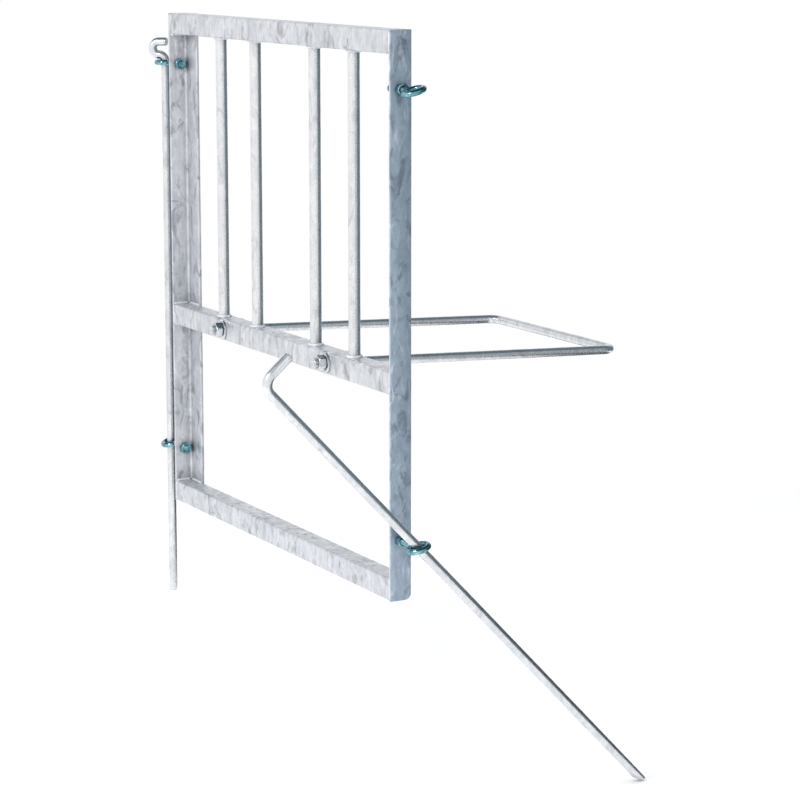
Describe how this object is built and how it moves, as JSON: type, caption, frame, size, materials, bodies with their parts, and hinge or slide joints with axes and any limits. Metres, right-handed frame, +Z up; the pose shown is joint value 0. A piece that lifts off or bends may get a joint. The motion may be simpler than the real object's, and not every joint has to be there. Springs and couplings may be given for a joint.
{
  "type": "pen feeding front",
  "caption": "Galvanised feeding front for a livestock pen: angle stiles, tube rails, upright bars, rear holder hoop and hooked linking rods in eyebolts.",
  "frame": {"origin": "centre of the bottom rail's underside, half way between the stiles and half way through the panel's depth", "axes": "+Z up the stiles; +X towards the right stile as seen from the feeding side; -Y out of the front, +Y towards the hoop"},
  "size_m": [1.0422, 0.837, 1.2735],
  "materials": {
    "galvanised": "hot-dip galvanised, matt with faint spangle",
    "galvanised_rod": "hot-dip galvanised, slightly glossier",
    "weld_metal": "galvanised weld bead, rough",
    "bright_zinc": "bright blue zinc plating",
    "galvanised_hardware": "galvanised nuts and washers, neutral grey and fairly bright"
  },
  "bodies": {
    "panel": {"stile_left": "galvanised", "stile_right": "galvanised", "top_rail": "galvanised", "middle_rail": "galvanised", "bottom_rail": "galvanised", "bar_outer_left": "galvanised", "bar_inner_left": "galvanised", "bar_inner_right": "galvanised", "bar_outer_right": "galvanised", "rail_welds": "weld_metal", "bar_welds": "weld_metal", "holder_hoop": "galvanised_rod", "hoop_washers": "galvanised_hardware", "hoop_front_nuts": "galvanised_hardware", "hoop_rear_nuts": "galvanised_hardware", "eyebolt_left_top": "bright_zinc", "eyebolt_left_bottom": "bright_zinc", "eyebolt_right_top": "bright_zinc", "eyebolt_right_bottom": "bright_zinc", "eyebolt_outer_nuts": "bright_zinc", "eyebolt_inner_nuts": "bright_zinc"},
    "rod_left": {"link_rod_left": "galvanised_rod"},
    "rod_right": {"link_rod_right": "galvanised_rod"}
  },
  "joints": [
    {"name": "left_rod_lift", "type": "slide", "parent": "panel", "child": "rod_left", "axis": [0, 0, 1], "range_m": [0, 1]},
    {"name": "right_rod_swing", "type": "hinge", "parent": "panel", "child": "rod_right", "pos_m": [0.495, 0, 0.1], "axis": [1, 0, 0], "range_deg": [-44, 0]}
  ]
}
